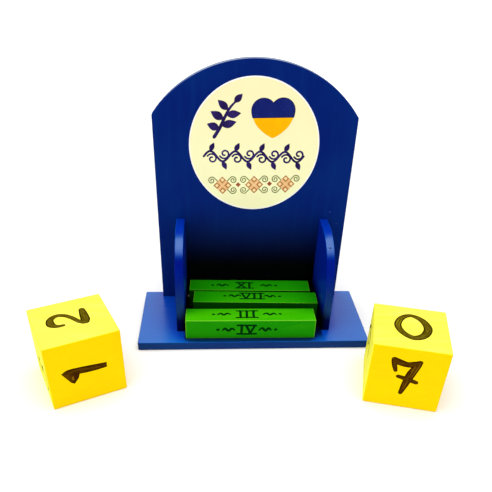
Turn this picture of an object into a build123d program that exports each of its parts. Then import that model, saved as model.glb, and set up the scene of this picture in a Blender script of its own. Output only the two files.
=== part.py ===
"""Perpetual desk calendar: a painted plywood stand, three month bars and two number cubes.

The origin is the centre of the base's underside. +X runs along the base, +Y goes to the back,
where the arched board stands, and +Z is up.
"""

import os
from math import cos, radians, sin

from build123d import *

# ---- Driving dimensions, in millimetres ----

# The loose blocks
cube_size = 45.0
bar_length = 90.0
bar_section = 15.0
cube_arris = 0.8
bar_arris = 0.6

# Plywood boards of the stand
board_thickness = 6.0
board_arris = 0.6
base_length = 161.0
base_depth = 67.0
base_corner_radius = 1.2
panel_width = 134.0
panel_shoulder_height = 136.0
panel_arch_rise = 34.5
panel_shoulder_radius = 2.0
panel_setback = 1.0

# The bay between the cheeks, which holds the bars with the cubes on top of them
bay_side_play = 6.5
bay_front_play = 1.5
cheek_headroom = 5.0
cheek_corner_radius = 35.0

# Tenons of the glued plywood joints
tenon_clearance = 0.1
tenon_recess = 0.3
panel_tenon_width = 24.0
panel_tenon_spacing = 52.0
cheek_tenon_width = 20.0

# Printed paper disc glued on the arched board
disc_width = 86.3
disc_height = 87.9
disc_thickness = 0.25
disc_centre_x = -0.6
disc_centre_height = 116.6

# How the loose blocks are set down: bars in the bay, from the board to the front
bar_names = ("month_bar_back", "month_bar_middle", "month_bar_front")
bar_gaps = (1.25, 1.58, 7.58)
bar_shifts = (-1.03, 2.15, -2.69)
bar_turns = (-1.19, -1.85, -0.33)

# The cubes on the table, off the base's two front corners
left_cube_turn = 24.9
left_cube_side_gap = 2.7
left_cube_forward = 27.5
right_cube_turn = -14.6
right_cube_front_gap = 10.8
right_cube_sideways = 10.7

# ---- Derived places ----

base_top = board_thickness
panel_back = base_depth / 2 - panel_setback
panel_front = panel_back - board_thickness
panel_half = panel_width / 2
panel_shoulder = base_top + panel_shoulder_height
panel_apex = panel_shoulder + panel_arch_rise
bay_width = max(bar_length, 2 * cube_size) + bay_side_play
cheek_inner = bay_width / 2
cheek_depth = max(3 * bar_section, cube_size) + bay_front_play
cheek_front = panel_front - cheek_depth
cheek_middle = panel_front - cheek_depth / 2
cheek_height = bar_section + cube_size + cheek_headroom
cheek_top = base_top + cheek_height
cheek_tenon_height = base_top + cheek_height / 2
tenon_length = board_thickness - tenon_recess
mortise_thickness = board_thickness + 2 * tenon_clearance

parts = {}


def upright_plane(y):
    """The X-Z plane at y, with its normal towards the front."""
    return Plane.XZ.offset(-y)


def turned_plane(x, y, z, turn):
    """A level plane at a point, turned about the vertical by an angle in degrees."""
    return Plane(origin=(x, y, z), x_dir=(cos(radians(turn)), sin(radians(turn)), 0), z_dir=(0, 0, 1))


def reach(size, turn):
    """How far a square block of this size reaches from its centre when turned."""
    return size / 2 * (cos(radians(turn)) + abs(sin(radians(turn))))


# ---- The stand ----

# Base: a rectangle with a mortise under each cheek and two notches for the board's tenons
with BuildPart() as base_board:
    with BuildSketch():
        Rectangle(base_length, base_depth)
    extrude(amount=board_thickness)
    fillet(base_board.edges().filter_by(Axis.Z), radius=base_corner_radius)
    outline_edges = base_board.faces().filter_by(Axis.Z).edges()
    fillet(outline_edges, radius=board_arris)
    with BuildSketch():
        for side in (-1, 1):
            with Locations((side * (cheek_inner + board_thickness / 2), cheek_middle)):
                Rectangle(mortise_thickness, cheek_tenon_width + 2 * tenon_clearance)
            with Locations((side * panel_tenon_spacing / 2, panel_front - tenon_clearance)):
                Rectangle(
                    panel_tenon_width + 2 * tenon_clearance,
                    base_depth / 2 - panel_front + 2 * tenon_clearance,
                    align=(Align.CENTER, Align.MIN),
                )
    extrude(amount=board_thickness, mode=Mode.SUBTRACT)
parts["base_board"] = base_board

# Arched board: straight sides, an arc across the top and a slot for each cheek's back tenon
with BuildPart() as back_panel:
    with BuildSketch(upright_plane(panel_back)):
        with BuildLine():
            Polyline(
                (-panel_half, panel_shoulder),
                (-panel_half, base_top),
                (panel_half, base_top),
                (panel_half, panel_shoulder),
            )
            ThreePointArc((panel_half, panel_shoulder), (0, panel_apex), (-panel_half, panel_shoulder))
        make_face()
    extrude(amount=board_thickness)
    shoulder_edges = back_panel.edges().filter_by(Axis.Y).group_by(Axis.Z)[-1]
    fillet(shoulder_edges, radius=panel_shoulder_radius)
    rim_edges = back_panel.faces().filter_by(Axis.Y).edges()
    bottom_edges = rim_edges.group_by(Axis.Z)[0]
    fillet(rim_edges - bottom_edges, radius=board_arris)
    with BuildSketch(upright_plane(panel_back)):
        for side in (-1, 1):
            with Locations((side * (cheek_inner + board_thickness / 2), cheek_tenon_height)):
                Rectangle(mortise_thickness, cheek_tenon_width + 2 * tenon_clearance)
    extrude(amount=board_thickness, mode=Mode.SUBTRACT)
    with BuildSketch(upright_plane(panel_back)):
        for side in (-1, 1):
            with Locations((side * panel_tenon_spacing / 2, base_top)):
                Rectangle(panel_tenon_width, tenon_length, align=(Align.CENTER, Align.MAX))
    extrude(amount=board_thickness)
parts["back_panel"] = back_panel

# Cheeks: upright boards with one large round corner, tenoned down into the base and back into
# the arched board
for name, inner_side in (("cheek_left", -cheek_inner - board_thickness), ("cheek_right", cheek_inner)):
    with BuildPart() as cheek:
        with BuildSketch(Plane.YZ.offset(inner_side)) as cheek_profile:
            with Locations((cheek_front, base_top)):
                Rectangle(cheek_depth, cheek_height, align=(Align.MIN, Align.MIN))
            front_top_corner = cheek_profile.vertices().group_by(Axis.Y)[-1].sort_by(Axis.X)[0]
            fillet(front_top_corner, radius=cheek_corner_radius)
        extrude(amount=board_thickness)
        outer_edges = cheek.faces().filter_by(Axis.X).edges()
        joint_edges = outer_edges.group_by(Axis.Z)[0] + outer_edges.group_by(Axis.Y)[-1]
        fillet(outer_edges - joint_edges, radius=board_arris)
        with BuildSketch(Plane.YZ.offset(inner_side)):
            with Locations((cheek_middle, base_top)):
                Rectangle(cheek_tenon_width, tenon_length, align=(Align.CENTER, Align.MAX))
            with Locations((panel_front, cheek_tenon_height)):
                Rectangle(tenon_length, cheek_tenon_width, align=(Align.MIN, Align.CENTER))
        extrude(amount=board_thickness)
    parts[name] = cheek

# Paper disc, cut by hand a little taller than wide, glued flat on the board's front
with BuildPart() as picture_disc:
    with BuildSketch(upright_plane(panel_front)):
        with Locations((disc_centre_x, base_top + disc_centre_height)):
            Ellipse(disc_width / 2, disc_height / 2)
    extrude(amount=disc_thickness)
parts["picture_disc"] = picture_disc

# ---- The loose blocks ----

# Month bars: square sticks that lie side by side on the base, each a little askew
bar_back = panel_front
for name, gap, shift, turn in zip(bar_names, bar_gaps, bar_shifts, bar_turns):
    bar_centre = bar_back - gap - bar_section / 2
    with BuildPart() as month_bar:
        with BuildSketch(turned_plane(shift, bar_centre, base_top, turn)):
            Rectangle(bar_length, bar_section)
        extrude(amount=bar_section)
        fillet(month_bar.edges(), radius=bar_arris)
    parts[name] = month_bar
    bar_back = bar_centre - bar_section / 2

# Number cubes: they stand on the table beside the stand's front corners
left_cube_x = -base_length / 2 - reach(cube_size, left_cube_turn) - left_cube_side_gap
left_cube_y = -base_depth / 2 - left_cube_forward
right_cube_x = base_length / 2 + right_cube_sideways
right_cube_y = -base_depth / 2 - reach(cube_size, right_cube_turn) - right_cube_front_gap
for name, x, y, turn in (
    ("number_cube_left", left_cube_x, left_cube_y, left_cube_turn),
    ("number_cube_right", right_cube_x, right_cube_y, right_cube_turn),
):
    with BuildPart() as number_cube:
        with BuildSketch(turned_plane(x, y, 0, turn)):
            Rectangle(cube_size, cube_size)
        extrude(amount=cube_size)
        fillet(number_cube.edges(), radius=cube_arris)
    parts[name] = number_cube

# ---- Write every piece ----

os.makedirs("parts", exist_ok=True)
for name, piece in parts.items():
    piece.part.label = name
    export_step(piece.part, f"parts/{name}.step")
    print(name, round(piece.part.volume, 1))
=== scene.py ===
"""Looks of the perpetual desk calendar: painted plywood, marker ink and a printed paper disc.

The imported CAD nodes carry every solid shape. This script gives them their paint, lays the ink of
the numerals and the print of the paper disc on them, and sets the light and the camera.
"""

import math
import random

import bpy
from mathutils import Matrix, Vector


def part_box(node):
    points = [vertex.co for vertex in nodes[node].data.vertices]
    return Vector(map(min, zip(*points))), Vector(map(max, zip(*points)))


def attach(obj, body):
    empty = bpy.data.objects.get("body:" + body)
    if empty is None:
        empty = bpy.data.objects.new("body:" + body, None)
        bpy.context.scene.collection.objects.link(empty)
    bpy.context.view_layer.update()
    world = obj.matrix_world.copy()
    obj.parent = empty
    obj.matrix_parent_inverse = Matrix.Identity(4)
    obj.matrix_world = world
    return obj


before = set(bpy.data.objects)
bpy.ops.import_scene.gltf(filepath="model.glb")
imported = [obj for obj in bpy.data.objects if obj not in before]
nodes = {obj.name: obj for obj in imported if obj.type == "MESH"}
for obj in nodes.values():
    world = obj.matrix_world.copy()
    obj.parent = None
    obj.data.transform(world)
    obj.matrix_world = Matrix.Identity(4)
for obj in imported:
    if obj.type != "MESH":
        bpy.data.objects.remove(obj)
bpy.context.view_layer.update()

MM = 0.001
UP = Vector((0, 0, 1))
FORWARD = Vector((0, -1, 0))


def add_object(name, data):
    """A new object in the scene."""
    added = bpy.data.objects.new(name, data)
    bpy.context.scene.collection.objects.link(added)
    return added


# ---- Places of the pieces, from the frame ----

PANEL_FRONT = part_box("back_panel")[0][1]
CHEEK_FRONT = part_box("cheek_right")[0][1]
BAY_HALF_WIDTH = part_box("cheek_right")[0][0]
FRONT_BAR_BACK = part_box("month_bar_front")[1][1]
DISC_LOW, DISC_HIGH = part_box("picture_disc")

# ---- Camera: the photograph's own view, fitted to the object's corners ----

IMAGE_SIZE = 492
SENSOR_WIDTH = 36.0
FOCAL_PIXELS = 550.43
PRINCIPAL_POINT = (249.30, 318.16)
CAMERA_PLACE = Vector((-29.58, -337.03, 235.68)) * MM
CAMERA_YAW = 0.0823
CAMERA_PITCH = 0.6026
CAMERA_ROLL = 0.0389
CLIP_NEAR = 0.01
CLIP_FAR = 100.0


def make_camera():
    """The photograph's camera. Its shift is only what the photograph's crop needs."""
    data = bpy.data.cameras.new("camera")
    data.sensor_fit = "HORIZONTAL"
    data.sensor_width = SENSOR_WIDTH
    data.lens = FOCAL_PIXELS * SENSOR_WIDTH / IMAGE_SIZE
    data.shift_x = (IMAGE_SIZE / 2 - PRINCIPAL_POINT[0]) / IMAGE_SIZE
    data.shift_y = (PRINCIPAL_POINT[1] - IMAGE_SIZE / 2) / IMAGE_SIZE
    data.clip_start = CLIP_NEAR
    data.clip_end = CLIP_FAR
    camera = add_object("camera", data)
    turn = Matrix.Rotation(-CAMERA_YAW, 4, "Z")
    turn = turn @ Matrix.Rotation(math.pi / 2 - CAMERA_PITCH, 4, "X")
    turn = turn @ Matrix.Rotation(CAMERA_ROLL, 4, "Z")
    camera.matrix_world = Matrix.Translation(CAMERA_PLACE) @ turn
    bpy.context.scene.camera = camera


# ---- Node helpers ----


def srgb(red, green, blue):
    """A colour given in 0-255 display values, as the linear values that shaders take."""
    channels = []
    for value in (red, green, blue):
        share = value / 255
        channels.append(share / 12.92 if share <= 0.04045 else ((share + 0.055) / 1.055) ** 2.4)
    return (*channels, 1.0)


class NodeTree:
    """A small builder around the node tree of a material or of the world."""

    def __init__(self, tree):
        self.tree = tree

    def add(self, kind, **settings):
        node = self.tree.nodes.new(kind)
        for key, value in settings.items():
            setattr(node, key, value)
        return node

    def plug(self, value, socket):
        """Links a socket to another, or sets its own number or colour."""
        if isinstance(value, (int, float, tuple)):
            socket.default_value = value
        else:
            self.tree.links.new(value, socket)

    def feed(self, node, **values):
        """Plugs values into a node's sockets, whose names have underscores here for spaces."""
        for key, value in values.items():
            self.plug(value, node.inputs[key.replace("_", " ")])
        return node.outputs

    def part(self, vector, axis):
        """One coordinate of a vector."""
        return self.feed(self.add("ShaderNodeSeparateXYZ"), Vector=vector)[axis]

    def math(self, operation, first, second=0.0):
        node = self.add("ShaderNodeMath", operation=operation)
        self.plug(first, node.inputs[0])
        self.plug(second, node.inputs[1])
        return node.outputs["Value"]

    def product(self, *shares):
        """Shares multiplied: one only where each of them is one."""
        result = shares[0]
        for share in shares[1:]:
            result = self.math("MULTIPLY", result, share)
        return result

    def ramp(self, value, low, high, to_low=0.0, to_high=1.0, kind="SMOOTHSTEP"):
        """A smooth or linear step of a value from one range into another, level beyond both ends."""
        node = self.add("ShaderNodeMapRange", interpolation_type=kind)
        self.feed(node, Value=value, From_Min=low, From_Max=high, To_Min=to_low, To_Max=to_high)
        return node.outputs["Result"]

    def fall(self, value, low, high):
        """A smooth step from one down to nought."""
        return self.ramp(value, low, high, 1.0, 0.0)

    def seen_directly(self):
        """One for rays from the camera and for rays that gloss or glass sends on, else nought."""
        path = self.add("ShaderNodeLightPath").outputs
        seen = path["Is Camera Ray"]
        for name in ("Is Glossy Ray", "Is Transmission Ray"):
            seen = self.math("MAXIMUM", seen, path[name])
        return seen


class Shader(NodeTree):
    """The nodes of one material."""

    def __init__(self, name):
        self.material = bpy.data.materials.new(name)
        self.material.use_nodes = True
        super().__init__(self.material.node_tree)
        self.bsdf = self.tree.nodes["Principled BSDF"]
        self.object_place = self.add("ShaderNodeTexCoord").outputs["Object"]

    def set(self, **values):
        """Plugs values into the shader's own sockets."""
        self.feed(self.bsdf, **values)

    def attribute(self, name):
        """A number that the mesh carries at each point."""
        return self.add("ShaderNodeAttribute", attribute_name=name).outputs["Fac"]

    def stretched(self, scale):
        """The object's own coordinates, stretched by a scale for each axis."""
        return self.feed(self.add("ShaderNodeMapping"), Vector=self.object_place, Scale=scale)["Vector"]

    def noise(self, scale, detail, roughness=0.5, place=None):
        """Noise over the object's own coordinates, or over other ones."""
        node = self.add("ShaderNodeTexNoise")
        place = self.object_place if place is None else place
        return self.feed(node, Vector=place, Scale=scale, Detail=detail, Roughness=roughness)["Fac"]

    def mix(self, share, first, second):
        """Two colours mixed, each given in display values or as a socket."""
        node = self.add("ShaderNodeMix", data_type="RGBA")
        self.plug(share, node.inputs[0])
        for index, tone in ((6, first), (7, second)):
            self.plug(srgb(*tone) if isinstance(tone, tuple) else tone, node.inputs[index])
        return node.outputs[2]

    def openness(self, reach):
        """One on an open surface, less in corners and gaps where light hardly comes. The marks laid from it
        are painted shading.
        """
        return self.feed(self.add("ShaderNodeAmbientOcclusion", samples=8), Distance=reach)["AO"]

    def place_along(self, axis):
        """The object's own coordinate along an axis."""
        return self.part(self.object_place, axis)

    def facing(self, axis):
        """How far the surface faces along an axis, from -1 to 1."""
        return self.part(self.add("ShaderNodeNewGeometry").outputs["Normal"], axis)

    def bump(self, height, distance, strength, **below):
        """Relief, which may lie on another relief's Normal."""
        node = self.add("ShaderNodeBump")
        return self.feed(node, Height=height, Distance=distance, Strength=strength, **below)["Normal"]


# ---- Paint on wood ----

# How finely the grain's noise runs along each axis, where the grain lies along X or stands upright.
ALONG_X = (60, 600, 600)
UPRIGHT = (600, 600, 50)
GRAIN_ROUGHNESS = 0.62
GRAIN_DEPTH = 0.12 * MM
STREAK_WIDTH = 0.45
STREAK_SHARE = 0.4
DRIFT_SCALE = 22
SPECK_SCALE = 900
SPECK_DEPTH = 0.03 * MM
GLOSS_DRIFT = 0.14
ARRIS_ROUGHNESS = 0.9
VARNISH_ROUGHNESS = 0.25
# The share of the painted highlight on the arrises.
EDGE_HIGHLIGHT = 0.6
# The black of the painted shade low in the bay.
BAY_SHADE_TONE = (0, 0, 1)

# A face's slant is how far it faces along an axis. A mark starts and ends between two slants.
LOOKS_UP = (0.6, 0.95)
LOOKS_FORWARD = (-0.95, -0.5)
LOOKS_LEFT = (-0.85, -0.6)
SLOPE_STARTS = (0.62, 0.82)
SLOPE_ENDS = (0.91, 0.975)
ARRIS_STARTS = (0.08, 0.25)
ARRIS_ENDS = (0.85, 0.98)

# Openness is judged within a reach. A mark of painted shading is full at the first openness and gone at the
# second.
FAR_REACH = 60 * MM
NEAR_REACH = 14 * MM
RECESS = (0.52, 1.0)
CORNER = (0.42, 0.86)
FOOT = (0.7, 0.98)
CREVICE = (0.68, 0.9)
GAP = (0.85, 1.0)

# Heights above the table at which a mark is full and at which it ends.
BAR_REFLECTION_HEIGHTS = (14 * MM, 54 * MM)
DARK_FOOT_HEIGHTS = (14 * MM, 23 * MM)
PANEL_SHADE_HEIGHTS = (31 * MM, 88 * MM)
CHEEK_SHADE_HEIGHTS = (14 * MM, 32 * MM)

# Depths between which the bay starts at the cheeks' fronts, ends in the board, and the gaps start.
BAY_STARTS = (CHEEK_FRONT - 8 * MM, CHEEK_FRONT + 6 * MM)
BAY_ENDS = (PANEL_FRONT + 0.5 * MM, PANEL_FRONT + 1.5 * MM)
GAPS_START = (FRONT_BAR_BACK - 0.35 * MM, FRONT_BAR_BACK + 3.65 * MM)
CHEEK_FADE = 1.0 * MM
SHADE_FADE = 4.5 * MM


class Paint(Shader):
    """Brushed paint over wood, with streaks of the brush. The wood's grain shows as relief.

    Each mark is laid over the tone that is there, so the order of the calls counts.
    """

    def __init__(self, name, grain, sides, top, edge_axes="Z"):
        """Sides and top are coats; the paler top coat is painted light. The edges are the arrises that border
        the faces across the axes.
        """
        super().__init__(name)
        self.grain = self.noise(1, 6, GRAIN_ROUGHNESS, self.stretched(grain))
        self.streaks = self.noise(1, 3, place=self.stretched(tuple(STREAK_WIDTH * scale for scale in grain)))
        self.drift = self.ramp(self.noise(DRIFT_SCALE, 3), 0.35, 0.65)
        self.upward = self.ramp(self.facing("Z"), *LOOKS_UP)
        self.edges = self.arrises(edge_axes)
        # The paler top coat on faces that look up is painted light from above.
        self.tone = self.mix(self.upward, self.coat(sides), self.coat(top))

    def coat(self, tones):
        """A coat that drifts between a middle and a deep tone, with streaks of a pale one."""
        middle, deep, pale = tones
        streaked = self.ramp(self.streaks, 0.48, 0.72, 0.0, STREAK_SHARE)
        return self.mix(streaked, self.mix(self.drift, middle, deep), pale)

    def arrises(self, axes):
        """One on the rounded edges between the faces across each axis and the others, else nought."""
        edges = 0.0
        for axis in axes:
            slant = self.math("ABSOLUTE", self.facing(axis))
            edge = self.product(self.ramp(slant, *ARRIS_STARTS), self.fall(slant, *ARRIS_ENDS))
            edges = self.math("MAXIMUM", edges, edge)
        return edges

    def between_cheeks(self, fade=CHEEK_FADE):
        """One between the planes of the two cheeks' inner faces, nought beyond a fade beside them."""
        aside = self.math("ABSOLUTE", self.place_along("X"))
        return self.fall(aside, BAY_HALF_WIDTH, BAY_HALF_WIDTH + fade)

    def before_panel(self):
        """One before the board and on its front, nought behind."""
        return self.fall(self.place_along("Y"), *BAY_ENDS)

    def cover(self, tone, *shares):
        """Lays a tone over the paint where each of the shares is one."""
        self.tone = self.mix(self.product(*shares), self.tone, tone)

    def painted_slope_highlight(self, tone):
        """Painted highlight: the tint of the mirrored light band on round corners, between their upright and
        their level stretch.
        """
        steepness = self.facing("Z")
        self.cover(tone, self.ramp(steepness, *SLOPE_STARTS), self.fall(steepness, *SLOPE_ENDS))

    def low_front(self, tone, heights):
        """A tone low down on faces that look forward."""
        low_down = self.fall(self.place_along("Z"), *heights)
        self.cover(tone, low_down, self.fall(self.facing("Y"), *LOOKS_FORWARD))

    def corners(self, tone, crevice_shade_tone):
        """Painted shade and reflection on the top beside upright pieces, darkest hard against them between
        the cheeks.
        """
        near = self.openness(NEAR_REACH)
        beside = self.fall(self.openness(FAR_REACH), *CORNER)
        beside = self.math("MAXIMUM", beside, self.fall(near, *FOOT))
        crevice = self.product(self.fall(near, *CREVICE), self.between_cheeks())
        self.cover(self.mix(crevice, tone, crevice_shade_tone), beside, self.upward)

    def bay_shading(self, tone):
        """Painted shading of closed-in places in the bay between the cheeks and the board."""
        in_bay = self.product(self.between_cheeks(), self.ramp(self.place_along("Y"), *BAY_STARTS))
        closed = self.fall(self.openness(FAR_REACH), *RECESS)
        self.cover(tone, in_bay, self.before_panel(), closed)

    def bay_black_shade(self, heights):
        """Painted shade: black low down between the cheeks."""
        low_down = self.fall(self.place_along("Z"), *heights)
        self.cover(BAY_SHADE_TONE, self.between_cheeks(SHADE_FADE), self.before_panel(), low_down)

    def gaps(self, tone):
        """Painted shade on upright faces in the gaps behind the front bar."""
        narrow = self.fall(self.openness(NEAR_REACH), *GAP)
        behind = self.ramp(self.place_along("Y"), *GAPS_START)
        self.cover(tone, narrow, behind, self.math("SUBTRACT", 1.0, self.upward))

    def finish(self, roughness, specular, varnish=None):
        """The finished material, with its relief and a gloss that is dull on the arrises.

        Varnish is the share of a clear coat on faces that look up, and the slants between which it starts.
        """
        gloss = self.math("ADD", self.product(self.streaks, GLOSS_DRIFT), roughness - GLOSS_DRIFT / 2)
        gloss = self.math("MAXIMUM", gloss, self.product(self.edges, ARRIS_ROUGHNESS))
        relief = self.bump(self.grain, GRAIN_DEPTH, 0.35)
        relief = self.bump(self.noise(SPECK_SCALE, 2), SPECK_DEPTH, 0.3, Normal=relief)
        self.set(Base_Color=self.tone, Roughness=gloss, Normal=relief, Specular_IOR_Level=specular)
        if varnish:
            share, start, full = varnish
            clear = self.ramp(self.facing("Z"), start, full, 0.0, share)
            clear = self.product(clear, self.math("SUBTRACT", 1.0, self.edges))
            self.set(Coat_Weight=clear, Coat_Roughness=VARNISH_ROUGHNESS)
        return self.material


def panel_paint():
    """The board's blue, with painted shade black low in the bay and a painted reflection pale on the arch's
    top edge.
    """
    sides = ((0, 36, 113), (0, 28, 107), (2, 44, 119))
    # The pale top coat on the arch's top edge is a painted reflection of the bright room.
    top = ((124, 135, 158), (114, 126, 150), (136, 147, 168))
    paint = Paint("panel_blue", UPRIGHT, sides, top)
    # Painted shade: black low in the bay.
    paint.bay_black_shade(PANEL_SHADE_HEIGHTS)
    return paint.finish(roughness=0.42, specular=0.03)


def cheek_paint():
    """The cheeks' blue: paler on top and tinted on the round corners as painted light, a painted reflection
    of the bars low on the fronts, dark at their feet, and painted shading in the bay.
    """
    sides = ((0, 22, 124), (0, 17, 117), (0, 30, 135))
    top = ((0, 44, 160), (0, 38, 154), (2, 53, 168))
    paint = Paint("cheek_blue", UPRIGHT, sides, top, edge_axes="X")
    # Painted highlight on the round corners.
    paint.painted_slope_highlight((0, 77, 158))
    # Painted reflection of the green bars, low on the fronts.
    paint.low_front((22, 62, 114), BAR_REFLECTION_HEIGHTS)
    # Dark navy low on the fronts, at the feet beside the bars.
    paint.low_front((0, 6, 68), DARK_FOOT_HEIGHTS)
    # Painted light: lighter on the cheeks' inner faces in the bay, against the shade there.
    paint.bay_shading((0, 33, 152))
    # Painted shade: black low on the cheeks beside the bay.
    paint.bay_black_shade(CHEEK_SHADE_HEIGHTS)
    return paint.finish(roughness=0.3, specular=0.02, varnish=(0.6, 0.66, 0.83))


def base_paint():
    """The base's blue: paler on top as painted light, deeper beside the pieces that stand on it as painted
    shade and reflection.
    """
    sides = ((0, 48, 113), (0, 42, 106), (2, 55, 121))
    top = ((0, 98, 186), (0, 92, 180), (8, 105, 194))
    paint = Paint("base_blue", ALONG_X, sides, top)
    # Painted shade and reflection beside the cheeks and bars.
    paint.corners((0, 60, 176), (0, 14, 66))
    # Painted shade: near black on the base in the bay.
    paint.bay_shading((0, 0, 6))
    return paint.finish(roughness=0.3, specular=0.08, varnish=(0.95, 0.97, 0.995))


def bar_paint():
    """The bars' green: paler on top and yellow on the edges as painted light, dark in the gaps as painted
    shade.
    """
    sides = ((30, 146, 0), (22, 140, 0), (46, 154, 0))
    top = ((62, 176, 0), (54, 171, 0), (78, 188, 0))
    paint = Paint("bar_green", ALONG_X, sides, top, edge_axes="ZX")
    # Painted shade: darker on the bars in the bay.
    paint.bay_shading((22, 144, 0))
    # Painted highlight on the arrises.
    paint.cover((128, 206, 52), paint.edges, EDGE_HIGHLIGHT)
    # Painted shade in the gaps between the bars.
    paint.gaps((0, 80, 0))
    return paint.finish(roughness=0.45, specular=0.02)


def cube_paint():
    """The cubes' yellow, paler on top and on the left faces: painted light from above and from the left."""
    sides = ((255, 216, 0), (255, 212, 0), (255, 221, 4))
    top = ((255, 238, 86), (255, 236, 74), (255, 243, 112))
    left = ((255, 250, 70), (255, 248, 60), (255, 253, 90))
    paint = Paint("cube_yellow", ALONG_X, sides, top)
    # Painted light on faces that look left.
    paint.cover(paint.coat(left), paint.fall(paint.facing("X"), *LOOKS_LEFT))
    return paint.finish(roughness=0.5, specular=0.02)


# ---- Paper of the disc ----

PAPER_RIM = 0.75 * MM
RIM_BLUR = 0.003


def paper():
    """Cream printed paper, warmer at the top: faint fibres, and a white rim where the print stops short."""
    shader = Shader("printed_paper")
    centre = (DISC_LOW + DISC_HIGH) / 2
    half = (DISC_HIGH - DISC_LOW) / 2
    shares = []
    for axis, index in (("X", 0), ("Z", 2)):
        offset = shader.math("SUBTRACT", shader.place_along(axis), centre[index])
        shares.append(shader.math("DIVIDE", offset, half[index]))
    squares = [shader.math("POWER", share, 2.0) for share in shares]
    reach = shader.math("SQRT", shader.math("ADD", *squares))
    fibres = shader.noise(1, 4, place=shader.stretched((900, 900, 2400)))
    tone = shader.mix(shader.ramp(shares[1], -0.9, 0.9), (255, 255, 204), (252, 242, 190))
    tone = shader.mix(shader.ramp(shader.noise(60, 3), 0.35, 0.65, 0.0, 0.3), tone, (251, 244, 192))
    tone = shader.mix(shader.ramp(fibres, 0.55, 0.8, 0.0, 0.3), tone, (255, 253, 214))
    rim = 1 - PAPER_RIM / half[0]
    tone = shader.mix(shader.ramp(reach, rim - RIM_BLUR, rim + RIM_BLUR), tone, (255, 255, 255))
    relief = shader.bump(fibres, 0.02 * MM, 0.4)
    shader.set(Base_Color=tone, Normal=relief, Roughness=0.55, Specular_IOR_Level=0.15)
    return shader.material


FINISHES = {
    panel_paint: ("back_panel",),
    cheek_paint: ("cheek_left", "cheek_right"),
    base_paint: ("base_board",),
    paper: ("picture_disc",),
    bar_paint: ("month_bar_front", "month_bar_middle", "month_bar_back"),
    cube_paint: ("number_cube_left", "number_cube_right"),
}


def dress_nodes():
    """Gives each CAD node its finish."""
    for finish, node_names in FINISHES.items():
        material = finish()
        for node_name in node_names:
            mesh = nodes[node_name].data
            mesh.materials.clear()
            mesh.materials.append(material)


# ---- Ink ----


def ink(name, core, edge, streak, glint_tone):
    """Marker ink: dark where it pooled at a stroke's edges and streaked along it, paler on glints, which are
    painted highlights.
    """
    shader = Shader(name)
    across = shader.attribute("across")
    finely = shader.product(across, 7.0)
    coarsely = shader.product(shader.attribute("along"), 0.16)
    place = shader.feed(shader.add("ShaderNodeCombineXYZ"), X=finely, Y=coarsely)["Vector"]
    streaks = shader.noise(1, 3, place=place)
    from_middle = shader.math("ABSOLUTE", shader.math("SUBTRACT", across, 0.5))
    tone = shader.mix(shader.ramp(streaks, 0.4, 0.66), core, streak)
    tone = shader.mix(shader.ramp(shader.noise(700, 3), 0.45, 0.7, 0.0, 0.35), tone, edge)
    tone = shader.mix(shader.ramp(from_middle, 0.2, 0.4), tone, edge)
    tone = shader.mix(shader.attribute("glint_strength"), tone, glint_tone)
    relief = shader.bump(streaks, 0.03 * MM, 0.5)
    shader.set(Base_Color=tone, Normal=relief, Roughness=0.6, Specular_IOR_Level=0.0)
    return shader.material


def print_ink(name, tone, shade, paper_show):
    """Flat printed ink with the slight mottle of a home printer, which lets the paper show."""
    shader = Shader(name)
    mottle = shader.noise(1400, 3)
    mixed = shader.mix(shader.ramp(shader.noise(130, 2), 0.38, 0.62), tone, shade)
    mixed = shader.mix(shader.ramp(mottle, 0.5, 0.75, 0.0, paper_show), mixed, (255, 250, 214))
    relief = shader.bump(mottle, 0.01 * MM, 0.3)
    shader.set(Base_Color=mixed, Normal=relief, Roughness=0.5, Specular_IOR_Level=0.03)
    return shader.material


# ---- Thin solids drawn on a face, in millimetres ----

# How deep a solid reaches into its face, and how much higher each one lies than the one before it.
SINK = 0.02
LAYER = 0.002
STEPS_PER_SPAN = 8
# The steps of a stroke's round end, and how far it turns in degrees.
CAP_STEPS = 4
CAP_TURN = 84
# A stroke's section: shares of its width and of its height.
SECTION = ((0.0, 0.0), (0.1, 0.75), (0.5, 1.0), (0.9, 0.75), (1.0, 0.0))


def laid(points, degrees, spot):
    """Points turned anticlockwise about the origin and moved to a spot. What follows x and y stays."""
    cos_turn, sin_turn = math.cos(math.radians(degrees)), math.sin(math.radians(degrees))
    result = []
    for x, y, *rest in points:
        across = spot[0] + x * cos_turn - y * sin_turn
        upward = spot[1] + x * sin_turn + y * cos_turn
        result.append((across, upward, *rest))
    return result


def curve_through(points, closed):
    """A Catmull-Rom curve through points of (x, y, width)."""
    count = len(points)
    samples = []
    for span in range(count if closed else count - 1):
        around = []
        for step in (-1, 0, 1, 2):
            index = (span + step) % count if closed else min(max(span + step, 0), count - 1)
            around.append(points[index])
        for step in range(STEPS_PER_SPAN):
            t = step / STEPS_PER_SPAN
            weights = (
                0.5 * (-t + 2 * t**2 - t**3),
                0.5 * (2 - 5 * t**2 + 3 * t**3),
                0.5 * (t + 4 * t**2 - 3 * t**3),
                0.5 * (-(t**2) + t**3),
            )
            samples.append(Vector([sum(w * p[axis] for w, p in zip(weights, around)) for axis in range(3)]))
    if not closed:
        samples.append(Vector(points[-1]))
    return samples


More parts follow.
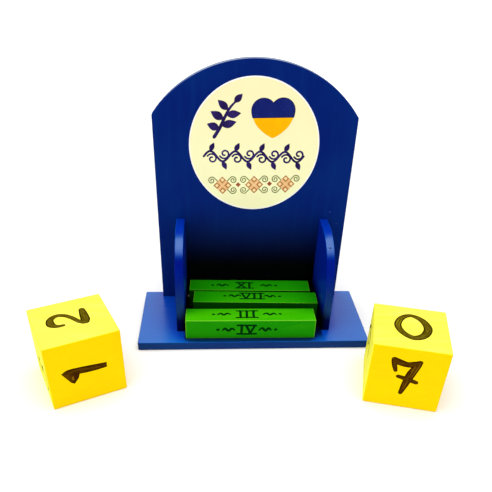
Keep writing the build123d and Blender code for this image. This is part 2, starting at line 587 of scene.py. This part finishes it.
class Drawing:
    """Thin closed solids gathered on one flat face, made into one mesh object."""

    def __init__(self, thickness, first_layer=0):
        self.thickness = thickness
        self.layer = first_layer
        self.points = []
        self.faces = []
        self.numbers = {"across": [], "along": [], "glint_strength": []}

    def new_layer(self):
        """The height of the next shape. Each lies a hair above the one before, so none share a surface."""
        self.layer += 1
        return self.thickness + self.layer * LAYER

    def add_point(self, place, *numbers):
        """A corner of a solid, with the numbers that the ink takes from it."""
        self.points.append(place)
        for values, number in zip(self.numbers.values(), numbers):
            values.append(number)

    def stroke(self, points, closed=False, capped=True, across=None, glint_strength=0.0):
        """A pen stroke of changing width with a low domed section and round ends."""
        height = self.new_layer() + SINK
        rings = self.rings(curve_through(points, closed), closed)
        if capped and not closed:
            rings = self.cap(rings[0], -1)[::-1] + rings + self.cap(rings[-1], 1)
        start = len(self.points)
        size = len(SECTION)
        for centre, heading, width, length in rings:
            side = Vector((-heading.y, heading.x))
            for share, rise in SECTION:
                spot = centre + side * width * (0.5 - share)
                place = (spot.x, spot.y, rise * height - SINK)
                self.add_point(place, share if across is None else across, length, glint_strength)
        laps = len(rings) if closed else len(rings) - 1
        for lap in range(laps):
            here = start + lap * size
            there = start + (lap + 1) % len(rings) * size
            for step in range(size):
                following = (step + 1) % size
                self.faces.append((here + step, there + step, there + following, here + following))
        if not closed:
            last = start + laps * size
            self.faces.append(tuple(range(start, start + size)))
            self.faces.append(tuple(reversed(range(last, last + size))))

    def rings(self, samples, closed):
        """The centre, heading, width and way along the stroke of each cross section."""
        rings = []
        length = 0.0
        for index, sample in enumerate(samples):
            if closed:
                before, after = samples[index - 1], samples[(index + 1) % len(samples)]
            else:
                before, after = samples[max(index - 1, 0)], samples[min(index + 1, len(samples) - 1)]
            if index:
                length += (sample.xy - samples[index - 1].xy).length
            rings.append((sample.xy, (after.xy - before.xy).normalized(), sample.z, length))
        return rings

    def cap(self, ring, sign):
        """The rings of a round end."""
        centre, heading, width, length = ring
        caps = []
        for step in range(1, CAP_STEPS + 1):
            angle = math.radians(CAP_TURN) * step / CAP_STEPS
            reach = sign * width / 2 * math.sin(angle)
            caps.append((centre + heading * reach, heading, width * math.cos(angle), length + reach))
        return caps

    def plate(self, outline):
        """A flat filled shape inside an outline of (x, y) that runs anticlockwise."""
        top = self.new_layer()
        low = len(self.points)
        count = len(outline)
        high = low + count
        for height in (-SINK, top):
            for x, y in outline:
                self.add_point((x, y, height), 0.5, x, 0.0)
        for step in range(count):
            following = (step + 1) % count
            self.faces.append((low + step, low + following, high + following, high + step))
        self.faces.append(tuple(reversed(range(low, high))))
        self.faces.append(tuple(range(high, high + count)))

    def place(self, name, face, material, body, slot):
        """Lays the drawing on a face and hands it to the body that carries the face."""
        mesh = bpy.data.meshes.new(name)
        mesh.from_pydata([face.at(*point) for point in self.points], [], self.faces)
        for key, values in self.numbers.items():
            mesh.attributes.new(key, "FLOAT", "POINT").data.foreach_set("value", values)
        mesh.materials.append(material)
        piece = add_object(name, mesh)
        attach(piece, body)


class Face:
    """A flat face with its own right and up directions, seen from outside."""

    def __init__(self, centre, up, normal):
        self.centre = centre
        self.up = up
        self.normal = normal
        self.right = up.cross(normal)

    def at(self, x, y, height):
        """The place in metres of a point given in millimetres on the face."""
        return self.centre + (self.right * x + self.up * y + self.normal * height) * MM


# The slant below which a polygon stands upright, and the share of the largest area that makes a face.
UPRIGHT_SLANT = 0.1
FACE_SHARE = 0.3


def block_faces(node_name):
    """The six faces of a cube or bar, found from its CAD mesh, by the name of the side."""
    mesh = nodes[node_name].data
    areas = {}
    for polygon in mesh.polygons:
        if abs(polygon.normal.z) < UPRIGHT_SLANT:
            key = tuple(round(value, 3) for value in polygon.normal)
            areas[key] = areas.get(key, 0) + polygon.area
    least = FACE_SHARE * max(areas.values())
    flat = [Vector(key).normalized() for key, area in areas.items() if area > least]
    front = min(flat, key=lambda normal: normal.y)
    right = UP.cross(front)
    centre = Vector((0, 0, 0))
    halves = []
    for axis in (front, right, UP):
        reaches = [vertex.co.dot(axis) for vertex in mesh.vertices]
        centre += axis * (min(reaches) + max(reaches)) / 2
        halves.append(axis * (max(reaches) - min(reaches)) / 2)
    to_front, to_right, to_top = halves
    return {
        "front": Face(centre + to_front, UP, front),
        "back": Face(centre - to_front, UP, -front),
        "right": Face(centre + to_right, UP, right),
        "left": Face(centre - to_right, UP, -right),
        "top": Face(centre + to_top, -front, UP),
        "bottom": Face(centre - to_top, front, -UP),
    }


# ---- Digits on the number cubes, drawn by hand with a broad marker ----

# Each digit's strokes: lines, closed loops, lines with flat ends, filled blots and glints, painted highlights
# on the ink.
DIGITS = {
    "0": [
        ("loop", [(0.2, 12.7, 3.8), (6.8, 8.8, 5.2), (9.9, 0.6, 6.0), (7.2, -7.4, 5.6), (0.9, -11.0, 5.0),
            (-5.3, -6.8, 4.8), (-8.1, 0.6, 5.0), (-5.6, 8.7, 4.5)]),
        ("glint", [(-3.6, 10.2, 0.3), (-6.6, 7.4, 0.8), (-8.3, 3.6, 0.9), (-9.0, 0.0, 0.3)]),
        ("glint", [(-5.4, 7.0, 0.2), (-6.8, 3.6, 0.5), (-7.4, -1.0, 0.2)]),
    ],
    "1": [
        ("blot", [(2.2, 14.2), (-5.4, 9.8), (-6.7, 8.2), (-3.5, 5.6), (-1.4, 4.9), (1.0, 4.2), (2.2, 9.0)]),
        ("flat", [(2.6, 13.6, 0.8), (2.4, 10.4, 4.0), (1.4, 2.5, 5.3), (0.7, -5.5, 4.9), (0.5, -12.0, 3.8)]),
        ("glint", [(-4.4, 8.0, 0.3), (-3.0, 8.6, 1.6), (-1.2, 8.2, 0.4)]),
        ("glint", [(1.6, 3.4, 0.3), (1.2, -1.0, 0.9), (0.8, -6.0, 0.3)]),
    ],
    "2": [
        ("line", [(-3.6, 5.9, 2.6), (-3.0, 9.8, 3.6), (0.2, 12.3, 5.6), (5.3, 11.6, 4.7), (7.9, 7.5, 3.8),
            (6.1, 2.9, 3.6), (1.9, -0.5, 3.5), (-2.9, -3.1, 3.5), (-5.2, -5.4, 4.0)]),
        ("line", [(-4.7, -6.9, 5.4), (-2.5, -7.3, 6.2), (3.8, -7.7, 5.5), (8.2, -7.9, 4.2)]),
    ],
    "3": [
        ("line", [(-5.5, 9.3, 1.6), (-1.5, 12.2, 3.2), (4.4, 10.8, 4.4), (5.2, 5.8, 3.8), (0.2, 2.0, 3.0)]),
        ("line", [(0.2, 1.8, 3.0), (6.4, -1.2, 3.8), (7.2, -6.8, 4.6), (2.2, -11.4, 4.0), (-3.8, -11.0, 3.2),
            (-6.8, -7.8, 1.8)]),
    ],
    "4": [
        ("line", [(1.4, 13.0, 2.0), (-3.2, 4.6, 3.8), (-7.4, -2.2, 3.6)]),
        ("line", [(-7.6, -3.4, 3.4), (0.0, -3.8, 3.4), (8.4, -3.0, 2.0)]),
        ("line", [(4.6, 5.0, 2.6), (3.6, -3.0, 4.6), (2.8, -12.2, 3.0)]),
    ],
    "5": [
        ("line", [(7.2, 12.2, 2.2), (0.8, 12.0, 3.6), (-5.0, 11.4, 3.4)]),
        ("line", [(-5.2, 11.0, 3.2), (-5.8, 6.4, 3.4), (-6.0, 2.8, 3.0)]),
        ("line", [(-5.8, 2.6, 3.0), (0.2, 4.0, 3.6), (6.2, 0.6, 4.4), (6.0, -6.4, 4.6), (0.6, -11.2, 4.0),
            (-6.2, -10.0, 2.2)]),
    ],
    "6": [
        ("line", [(5.6, 11.8, 1.8), (0.0, 9.0, 3.6), (-5.4, 1.8, 4.6), (-6.0, -6.0, 4.4), (-0.6, -11.4, 4.2),
            (5.6, -8.2, 4.2), (5.8, -2.2, 3.8), (0.2, 0.6, 3.2), (-3.8, -1.8, 2.4)]),
    ],
    "7": [
        ("line", [(-7.0, 5.6, 2.6), (-8.2, 9.4, 3.4), (-8.7, 12.6, 4.0)]),
        ("line", [(-8.7, 13.4, 4.0), (-5.5, 11.9, 4.8), (-1.0, 10.9, 4.3), (3.0, 11.7, 4.8),
            (5.8, 13.3, 3.6)]),
        ("line", [(5.2, 11.6, 4.4), (2.4, 4.5, 5.8), (0.4, -3.5, 4.8), (-1.2, -10.9, 2.9)]),
        ("line", [(-4.6, 1.3, 2.8), (0.5, 0.1, 3.4), (6.2, -1.6, 3.0)]),
        ("glint", [(6.2, 12.2, 0.4), (4.8, 7.6, 1.0), (3.4, 2.4, 0.3)]),
        ("glint", [(3.8, 10.8, 0.3), (2.6, 6.2, 0.9), (1.6, 1.8, 0.3)]),
        ("glint", [(1.6, -1.4, 0.2), (0.6, -4.4, 0.7), (0.0, -7.6, 0.2)]),
    ],
    "8": [
        ("loop", [(0.6, 1.6, 3.4), (-4.8, 5.8, 3.8), (-3.2, 11.2, 3.8), (2.6, 12.0, 3.4), (5.6, 7.8, 3.8)]),
        ("loop", [(0.6, 0.8, 3.4), (-5.8, -4.2, 4.4), (-4.2, -10.6, 4.2), (2.4, -12.0, 4.2),
            (6.4, -6.4, 4.6)]),
    ],
}

# Which digit stands on each face, and its turn anticlockwise on that face in degrees.
CUBE_DIGITS = {
    "number_cube_left": {"top": ("2", 90), "front": ("1", 90), "left": ("3", 90), "right": ("5", 0),
                         "back": ("4", 180), "bottom": ("0", 0)},
    "number_cube_right": {"top": ("0", 0), "front": ("7", 0), "left": ("6", 270), "right": ("2", 90),
                          "back": ("8", 0), "bottom": ("1", 180)},
}
# Places of the digits that don't stand in the middle of their face.
DIGIT_SHIFTS = {("number_cube_left", "left"): (5.0, -7.0), ("number_cube_right", "left"): (-8.0, 4.0)}
FINE_SIDES = ("left",)
FINE_PEN = 0.5
INK_THICKNESS = 0.03
BLOT_EDGE = 0.8
# How far a glint, a painted highlight, turns the ink to its glint tone.
GLINT_SHARE = 0.6


def draw_digit(drawing, digit, turn, shift, pen):
    """Draws a digit turned and shifted on its face, with a pen of a share of the broad one's width."""
    for kind, points in DIGITS[digit]:
        points = laid(points, turn, shift)
        if kind == "blot":
            drawing.plate(points)
            for one, two in zip(points, points[1:] + points[:1]):
                drawing.stroke([(*one, BLOT_EDGE), (*two, BLOT_EDGE)], across=0.0)
        else:
            glint_strength = GLINT_SHARE if kind == "glint" else 0.0
            points = [(x, y, width * pen) for x, y, width in points]
            drawing.stroke(points, closed=kind == "loop", capped=kind != "flat", glint_strength=glint_strength)


def draw_digits():
    """Draws the digits of both cubes."""
    thin = ink("marker_thin", (86, 72, 0), (38, 32, 0), (114, 100, 26), (190, 182, 0))
    thick = ink("marker_thick", (67, 35, 0), (35, 7, 0), (103, 71, 7), (151, 113, 24))
    for node_name, digits in CUBE_DIGITS.items():
        faces = block_faces(node_name)
        for side, (digit, turn) in digits.items():
            drawing = Drawing(INK_THICKNESS)
            shift = DIGIT_SHIFTS.get((node_name, side), (0.0, 0.0))
            draw_digit(drawing, digit, turn, shift, FINE_PEN if side in FINE_SIDES else 1.0)
            name = f"digit_{node_name.rsplit('_', 1)[1]}_{side}"
            material = thick if side in ("front", "back") else thin
            drawing.place(name, faces[side], material, node_name, "yellow_paint")


# ---- Month numerals on the bars, in Roman figures with a fine marker ----

# For each letter its width and its strokes.
NUMERAL_STROKES = {
    "I": (4.6, [[(0.1, 4, 1.9), (0, 0, 1.9), (-0.1, -4, 1.8)]]),
    "V": (7.6, [[(-3.0, 4, 1.9), (-1.4, 0, 1.9), (0, -3.9, 1.7)],
                [(0.1, -3.9, 1.5), (1.5, 0, 1.7), (3.1, 4, 1.6)]]),
    "X": (7.4, [[(-2.8, 4, 1.9), (0.1, 0, 1.9), (2.9, -4, 1.8)],
                [(2.8, 4, 1.6), (0, 0, 1.7), (-2.9, -4, 1.7)]]),
}
NUMERAL_HEIGHT = 8.0
# How far the bars over and under a numeral pass its sides, and their width.
BAR_OVERHANG = 0.4
BAR_LINE = 1.5
WAVE = ((0, -0.4, 1.2), (1.8, 1.1, 1.8), (4.0, -1.0, 1.8), (6.2, 1.1, 1.8), (8.4, -0.2, 1.2))
WAVE_INSET = 3.4
DOT = 2.0
DOT_DRAG = 0.4
WOBBLE = 0.18

# For each bar: the numeral of each face. The first of each is on top in use.
BAR_MONTHS = {
    "month_bar_front": {"top": "III", "front": "IV", "bottom": "I", "back": "II"},
    "month_bar_middle": {"top": "VII", "front": "VIII", "bottom": "V", "back": "VI"},
    "month_bar_back": {"top": "XI", "front": "XII", "bottom": "IX", "back": "X"},
}
# The middle of the writing along and across a face, its half length and its height, where they show.
WRITING_PLACES = {
    ("month_bar_front", "top"): (-2.5, 0.35, 23.5, 8.2),
    ("month_bar_front", "front"): (-2.75, -0.15, 20.2, 7.2),
    ("month_bar_middle", "top"): (-2.25, 1.2, 20.2, 7.6),
    ("month_bar_middle", "front"): (-2.0, -2.2, 20.2, 6.2),
    ("month_bar_back", "top"): (-4.0, -0.2, 24.0, 7.8),
    ("month_bar_back", "front"): (-2.0, -2.2, 20.2, 6.2),
}
WRITING_PLACE = (-2.0, 0.0, 22.0, 7.6)


def numeral_strokes(numeral, middle, level, height):
    """The strokes of a numeral and of the bars over and under it."""
    width = sum(NUMERAL_STROKES[letter][0] for letter in numeral)
    scale = height / NUMERAL_HEIGHT
    strokes = []
    start = middle - width / 2
    for letter in numeral:
        advance, letter_strokes = NUMERAL_STROKES[letter]
        for points in letter_strokes:
            strokes.append([(start + advance / 2 + x, level + y * scale, pen) for x, y, pen in points])
        start += advance
    reach = width / 2 + BAR_OVERHANG
    for way in (1, -1):
        strokes.append([(middle + share * reach, level + way * height / 2, BAR_LINE) for share in (-1, 0, 1)])
    return strokes


def flourish_strokes(middle, level, half_length):
    """The strokes of a dot and a wave at each end of the writing."""
    strokes = []
    for way in (-1, 1):
        outer = middle + way * half_length
        inner = outer - way * WAVE_INSET
        strokes.append([(outer, level, DOT), (outer - way * DOT_DRAG, level, DOT)])
        strokes.append([(inner - way * x, level + y, pen) for x, y, pen in WAVE])
    return strokes


def draw_months():
    """Writes the months on the bars with an unsteady hand."""
    marker = ink("marker_green", (0, 46, 10), (0, 31, 5), (0, 64, 14), (12, 109, 23))
    hand = random.Random(7)
    for node_name, months in BAR_MONTHS.items():
        faces = block_faces(node_name)
        for side, numeral in months.items():
            middle, level, half_length, height = WRITING_PLACES.get((node_name, side), WRITING_PLACE)
            strokes = numeral_strokes(numeral, middle, level, height)
            strokes += flourish_strokes(middle, level, half_length)
            drawing = Drawing(INK_THICKNESS)
            for points in strokes:
                moved = []
                for x, y, width in points:
                    aside = hand.uniform(-WOBBLE, WOBBLE)
                    upward = hand.uniform(-WOBBLE, WOBBLE)
                    moved.append((x + aside, y + upward, width))
                drawing.stroke(moved)
            name = f"numeral_{node_name.rsplit('_', 1)[1]}_{side}"
            drawing.place(name, faces[side], marker, node_name, "green_paint")


# ---- Small marks of use ----

GLUE_STROKE = [(-47.0, 6.7, 2.3), (-46.8, 7.0, 2.3)]
GLUE_HEIGHT = 0.9
FLECK_STROKES = ([(55.2, 76.6, 0.6), (55.6, 76.7, 0.6)], [(60.8, 67.5, 0.4), (61.2, 67.6, 0.4)])
FLECK_HEIGHT = 0.03
NIB_STROKE = [(-0.3, 0, 0.9), (0.3, 0.1, 0.9)]
NIB_HEIGHT = 0.15
NIB_PLACE = Vector((51.25, -5.6, 64.3)) * MM
# How far the cheek's round corner leans back at the nib, in degrees.
NIB_SLOPE = 54


def glue_speck(panel_face):
    """A speck of dried glue at the foot of the panel."""
    glue = Shader("dried_glue")
    tone = glue.mix(glue.noise(1500, 4), (250, 228, 228), (255, 244, 242))
    glue.set(Base_Color=tone, Roughness=0.4, Specular_IOR_Level=0.2)
    speck = Drawing(GLUE_HEIGHT)
    speck.stroke(GLUE_STROKE)
    speck.place("glue_speck", panel_face, glue.material, "stand", "blue_paint")


def panel_flecks(panel_face):
    """Two pale flecks on the panel's paint."""
    flecks = Drawing(FLECK_HEIGHT)
    for points in FLECK_STROKES:
        flecks.stroke(points)
    pale = print_ink("paint_fleck", (62, 90, 146), (74, 100, 154), 0.05)
    flecks.place("panel_flecks", panel_face, pale, "stand", "blue_paint")


def paint_nib():
    """A nib of thick paint on the right cheek's round corner."""
    slope = math.radians(NIB_SLOPE)
    outward = Vector((0, -math.cos(slope), math.sin(slope)))
    along = Vector((0, math.sin(slope), math.cos(slope)))
    nib = Drawing(NIB_HEIGHT)
    nib.stroke(NIB_STROKE)
    dark = print_ink("paint_nib", (0, 18, 74), (0, 14, 62), 0.0)
    nib.place("paint_nib", Face(NIB_PLACE, along, outward), dark, "stand", "blue_paint")


# ---- Print of the paper disc, in millimetres from a point near its middle ----

PRINT_CENTRE = Vector((0, DISC_LOW[1], 122.5 * MM))
PRINT_THICKNESS = 0.004
# How far the print is turned on the disc, in degrees.
PRINT_TURN = 1.8

# Each ink's tone and shade, and how much of the paper shows through it.
PRINT_INKS = {
    "navy": ((20, 36, 112), (16, 30, 106), 0.01),
    "amber": ((255, 188, 0), (255, 181, 0), 0.01),
    "indigo": ((45, 31, 98), (35, 22, 77), 0.01),
    "indigo_deep": ((24, 16, 71), (20, 14, 62), 0.01),
    "peach": ((238, 184, 129), (231, 176, 118), 0.12),
    "rust": ((185, 113, 50), (173, 100, 43), 0.12),
    "straw": ((255, 232, 175), (255, 226, 164), 0.12),
    "olive": ((115, 122, 54), (100, 109, 45), 0.12),
    "brick": ((168, 86, 54), (156, 73, 45), 0.12),
}

# The heart, about the middle between its lobes.
HEART_MIDDLE = (10.7, 23.4)
HEART_LOBE_RADIUS = 7.75
HEART_LOBE_OFFSET = 6.2
HEART_SIDE_ANGLE = 7.5
HEART_SIDE_BULGE = (12.67, -10.9)
HEART_TIP = (1.3, -16.9)
HEART_TIP_DIP = 0.55
HEART_SPLIT = -4.3
HEART_EDGE = 0.7
# The turn in degrees from which a corner of an outline counts as sharp.
SHARP_CORNER = 35

ROSETTE_CENTRES = ((-21.6, -26.6), (0.1, -25.9), (21.8, -25.2))
ROSETTE_REACH = 6.25
STITCH_OFFSET = 3.9
STITCH_REACH = 2.35
EYE_REACH = 1.35
LATTICE_LINE = 0.45
LINK_CENTRES = ((-10.9, -26.0), (10.65, -25.1))
LINK_REACH = 1.75
SCROLL_ROOT = (3.2, 2.87)
SCROLL_LINE = 0.7
# Corners without a scroll, by the rosette's number and the ways to the corner.
MISSING_SCROLLS = ((0, -1, -1), (2, 1, -1))

SPRIG_STEM = [
    (-27.0, 6.6, 3.2), (-23.4, 12.4, 3.0), (-20.4, 18.8, 2.7), (-17.2, 24.6, 2.2), (-13.0, 29.2, 1.6),
]
# Each leaf's root, its heading in degrees, its length and its width.
SPRIG_LEAVES = (
    ((-23.8, 11.6), 160, 8.6, 5.2), ((-22.4, 13.4), 16, 10.0, 5.2), ((-21.2, 17.6), 150, 9.6, 5.4),
    ((-19.4, 20.2), 8, 9.6, 5.0), ((-18.2, 23.4), 138, 9.0, 4.8), ((-14.4, 28.0), 46, 7.4, 4.2),
)
LEAF_STEPS = 8
LEAF_SKEW = 0.85

VINE_START = -34.0
VINE_END = 32.6
VINE_LEVEL = -6.4
VINE_SWING = 3.4
VINE_WAVE = 16.6
VINE_LINE = 2.0
VINE_STEPS = 40
# How far a curl stands beyond the middle of its bend, and the leaf beyond that.
BEND_SHIFT = 0.6
LEAF_SHIFT = -0.8
CURL_LINE = 1.4


def winding(centre, radius, start, sweep, steps, shrink=0.0):
    """Points of an arc, or of a spiral whose radius shrinks by a share. The angles are in degrees."""
    points = []
    for step in range(steps + 1):
        share = step / steps
        angle = math.radians(start + sweep * share)
        reach = radius * (1 - shrink * share)
        points.append((centre[0] + reach * math.cos(angle), centre[1] + reach * math.sin(angle)))
    return points


def bent(start, control, end, steps):
    """Points of a quadratic curve."""
    points = []
    for step in range(steps + 1):
        t = step / steps
        pulls = ((1 - t) ** 2, start), (2 * t * (1 - t), control), (t**2, end)
        points.append(tuple(sum(share * point[axis] for share, point in pulls) for axis in (0, 1)))
    return points


def diamond(centre, reach):
    """An upright square that stands on a corner."""
    x, y = centre
    return [(x + reach, y), (x, y + reach), (x - reach, y), (x, y - reach)]


def leaf(root, heading, length, width):
    """An almond leaf from its root along a heading in degrees."""
    outline = []
    for side in (-1, 1):
        for step in range(LEAF_STEPS):
            share = step / LEAF_STEPS if side < 0 else 1 - step / LEAF_STEPS
            outline.append((length * share, side * width / 2 * math.sin(math.pi * share**LEAF_SKEW)))
    return laid(outline, heading, root)


def cut_level(outline, level, way):
    """The part of an outline above a level, or below it where the way is -1."""
    kept = []
    for (x, y), (next_x, next_y) in zip(outline, outline[1:] + outline[:1]):
        inside = way * (y - level) > 0
        next_inside = way * (next_y - level) > 0
        if inside:
            kept.append((x, y))
        if inside != next_inside:
            share = (level - y) / (next_y - y)
            kept.append((x + share * (next_x - x), level))
    return kept


def smooth_runs(outline):
    """An outline's smooth runs between its sharp corners."""
    count = len(outline)
    sharp = []
    for index in range(count):
        before = Vector(outline[index]) - Vector(outline[index - 1])
        after = Vector(outline[(index + 1) % count]) - Vector(outline[index])
        if before.angle(after) > math.radians(SHARP_CORNER):
            sharp.append(index)
    runs = []
    for start, end in zip(sharp, sharp[1:] + [sharp[0] + count]):
        runs.append([outline[step % count] for step in range(start, end + 1)])
    return runs


class Printer:
    """The disc's inks and the face that they are printed on."""

    def __init__(self):
        self.face = Face(PRINT_CENTRE, UP, FORWARD)
        self.inks = {name: print_ink(f"print_{name}", *tones) for name, tones in PRINT_INKS.items()}

    def lay(self, drawing, name, ink_name):
        """Prints a drawing in one of the inks."""
        drawing.place(f"print_{name}", self.face, self.inks[ink_name], "stand", "printed_paper")


def heart_outline():
    """Two round lobes and full sides that meet in a small round tip, anticlockwise from the notch."""
    notch_angle = math.degrees(math.acos(-HEART_LOBE_OFFSET / HEART_LOBE_RADIUS))
    sweep = -HEART_SIDE_ANGLE - notch_angle
    lobe = winding((HEART_LOBE_OFFSET, 0.0), HEART_LOBE_RADIUS, notch_angle, sweep, steps=30)
    right = lobe + bent(lobe[-1], HEART_SIDE_BULGE, HEART_TIP, steps=12)[1:]
    left = [(-x, y) for x, y in right]
    tip = (0.0, HEART_TIP[1] - HEART_TIP_DIP)
    return left + [tip] + right[:0:-1]


def print_heart(printer):
    """A heart in two colours. Its upper part has a darker edge."""
    outline = heart_outline()
    upper = laid(cut_level(outline, HEART_SPLIT, 1), PRINT_TURN, HEART_MIDDLE)
    lower = laid(cut_level(outline, HEART_SPLIT, -1), PRINT_TURN, HEART_MIDDLE)
    for name, part, ink_name in (("heart_lower", lower, "amber"), ("heart_upper", upper, "navy")):
        drawing = Drawing(PRINT_THICKNESS)
        drawing.plate(part)
        printer.lay(drawing, name, ink_name)
    edge = Drawing(PRINT_THICKNESS, first_layer=2)
    for run in smooth_runs(upper):
        edge.stroke([(*point, HEART_EDGE) for point in run], capped=False)
    printer.lay(edge, "heart_edge", "indigo_deep")


def print_rosettes(printer):
    """Three rosettes, each a diamond with a lattice and four small diamonds with eyes."""
    # Each drawing starts above the layers of the one before it.
    layers = (0, 3, 9, 21)
    fills, lattice, stitches, eyes = (Drawing(PRINT_THICKNESS, first_layer) for first_layer in layers)
    for centre in ROSETTE_CENTRES:
        fills.plate(laid(diamond((0, 0), ROSETTE_REACH), PRINT_TURN, centre))
        reach = ROSETTE_REACH / 2
        for way in (-1, 1):
            ends = [(-reach, -way * reach, LATTICE_LINE), (reach, way * reach, LATTICE_LINE)]
            lattice.stroke(laid(ends, PRINT_TURN, centre), capped=False)
        for way_x, way_y in ((0, 1), (1, 0), (0, -1), (-1, 0)):
            spot = (way_x * STITCH_OFFSET, way_y * STITCH_OFFSET)
            stitches.plate(laid(diamond(spot, STITCH_REACH), PRINT_TURN, centre))
            eyes.plate(laid(diamond(spot, EYE_REACH), PRINT_TURN, centre))
    printer.lay(fills, "rosettes", "peach")
    printer.lay(lattice, "rosette_lattice", "straw")
    printer.lay(stitches, "rosette_stitches", "rust")
    printer.lay(eyes, "rosette_eyes", "straw")


def print_scrolls(printer):
    """Scrolls that leave the rosettes' edges and wind inwards, and links between the rosettes."""
    spiral = winding(centre=(7.25, 3.6), radius=2.5, start=125, sweep=-522, steps=16, shrink=0.78)
    scrolls = Drawing(PRINT_THICKNESS, first_layer=33)
    for index, centre in enumerate(ROSETTE_CENTRES):
        for way_x, way_y in ((-1, -1), (-1, 1), (1, -1), (1, 1)):
            if (index, way_x, way_y) not in MISSING_SCROLLS:
                points = [(way_x * x, way_y * y, SCROLL_LINE) for x, y in [SCROLL_ROOT] + spiral]
                scrolls.stroke(laid(points, PRINT_TURN, centre))
    printer.lay(scrolls, "scrolls", "olive")
    links = Drawing(PRINT_THICKNESS)
    for centre in LINK_CENTRES:
        links.plate(laid(diamond((0, 0), LINK_REACH), PRINT_TURN, centre))
    printer.lay(links, "links", "brick")


def print_sprig(printer):
    """A leafy sprig, a stock motif."""
    drawing = Drawing(PRINT_THICKNESS)
    drawing.stroke(SPRIG_STEM)
    for leaf_shape in SPRIG_LEAVES:
        drawing.plate(leaf(*leaf_shape))
    printer.lay(drawing, "sprig", "indigo")


def vine_height(x):
    """How high the vine's stem stands at a place along it."""
    return VINE_LEVEL + VINE_SWING * math.sin(2 * math.pi * (x - VINE_START) / VINE_WAVE)


def print_vine(printer):
    """A waving vine with a curl and a leaf in each bend, a stock border motif."""
    drawing = Drawing(PRINT_THICKNESS)
    stem = []
    for step in range(VINE_STEPS + 1):
        x = VINE_START + (VINE_END - VINE_START) * step / VINE_STEPS
        stem.append((x, vine_height(x), VINE_LINE))
    drawing.stroke(stem)
    curl = winding(centre=(0.6, 1.7), radius=3.5, start=-150, sweep=420, steps=14, shrink=0.72)
    bend_length = VINE_WAVE / 2
    for bend in range(int((VINE_END - VINE_START) / bend_length)):
        way = 1 if bend % 2 else -1
        middle = VINE_START + BEND_SHIFT + bend_length * (bend + 0.5)
        drawing.stroke([(middle + x, VINE_LEVEL + way * y, CURL_LINE) for x, y in curl])
        root = (middle + LEAF_SHIFT, vine_height(middle))
        drawing.plate(leaf(root, heading=-way * 64, length=6.4, width=3.4))
    printer.lay(drawing, "vine", "indigo")


# ---- Light and surroundings ----

# The light of the room's sides, and the slants between which its front passes into its back.
AMBIENT_FRONT = 0.55
AMBIENT_BACK = 0.25
AMBIENT_LEFT = 0.85
AMBIENT_RIGHT = 0.3
FRONT_TO_BACK = (-0.2, 0.3)
WHITE = (1, 1, 1, 1)
SOFTBOX_HEIGHT = 0.95
SOFTBOX_SIZE = 0.86
SOFTBOX_RADIANCE = 3.4
SOFTBOX_FORWARD = 0.08
FLOOR_SIZE = 40.0
FLOOR_DROP = 0.03 * MM
FLOOR_TONE = 0.92
# Distances from the middle between which the floor fades into the white room.
GLOW = (0.25, 1.2)


def make_world():
    """A white room that shows white and is mirrored white. Its left and its front give the most light."""
    world = bpy.data.worlds.new("white_room")
    bpy.context.scene.world = world
    world.use_nodes = True
    room = NodeTree(world.node_tree)
    direction = room.add("ShaderNodeTexCoord").outputs["Generated"]
    ambient = room.ramp(room.part(direction, "Y"), *FRONT_TO_BACK, AMBIENT_FRONT, AMBIENT_BACK)
    for side, strength in ((-1, AMBIENT_LEFT), (1, AMBIENT_RIGHT)):
        aside = room.ramp(room.part(direction, "X"), 0, side, 0, strength, "LINEAR")
        ambient = room.math("ADD", ambient, aside)
    level = room.ramp(room.seen_directly(), 0, 1, ambient, 1, "LINEAR")
    room.feed(room.tree.nodes["Background"], Color=WHITE, Strength=level)


def make_softbox():
    """The large light right above the object, which the cheeks' round corners mirror as a band."""
    data = bpy.data.lights.new("softbox", "AREA")
    data.shape = "SQUARE"
    data.size = SOFTBOX_SIZE
    data.energy = SOFTBOX_RADIANCE * math.pi * SOFTBOX_SIZE**2
    add_object("softbox", data).location = (0, -SOFTBOX_FORWARD, SOFTBOX_HEIGHT)


def make_floor():
    """A white floor that keeps the object's shadow and bounces light back at it."""
    half = FLOOR_SIZE / 2
    mesh = bpy.data.meshes.new("floor")
    corners = [(x, y, -FLOOR_DROP) for x, y in ((-half, -half), (half, -half), (half, half), (-half, half))]
    mesh.from_pydata(corners, [], [(0, 1, 2, 3)])
    floor = add_object("floor", mesh)
    shader = Shader("floor_white")
    length = shader.add("ShaderNodeVectorMath", operation="LENGTH")
    shader.plug(shader.object_place, length.inputs[0])
    glow = shader.product(shader.ramp(length.outputs["Value"], *GLOW), shader.seen_directly())
    shader.set(Base_Color=(FLOOR_TONE, FLOOR_TONE, FLOOR_TONE, 1), Roughness=0.9, Specular_IOR_Level=0.0)
    shader.set(Emission_Color=WHITE, Emission_Strength=glow)
    mesh.materials.append(shader.material)


bpy.context.scene.view_settings.view_transform = "Standard"
make_camera()
make_world()
make_softbox()
make_floor()
dress_nodes()
draw_digits()
draw_months()

panel_face = Face(Vector((0, PANEL_FRONT, 0)), UP, FORWARD)
glue_speck(panel_face)
panel_flecks(panel_face)
paint_nib()

printer = Printer()
for print_figure in (print_heart, print_rosettes, print_scrolls, print_sprig, print_vine):
    print_figure(printer)
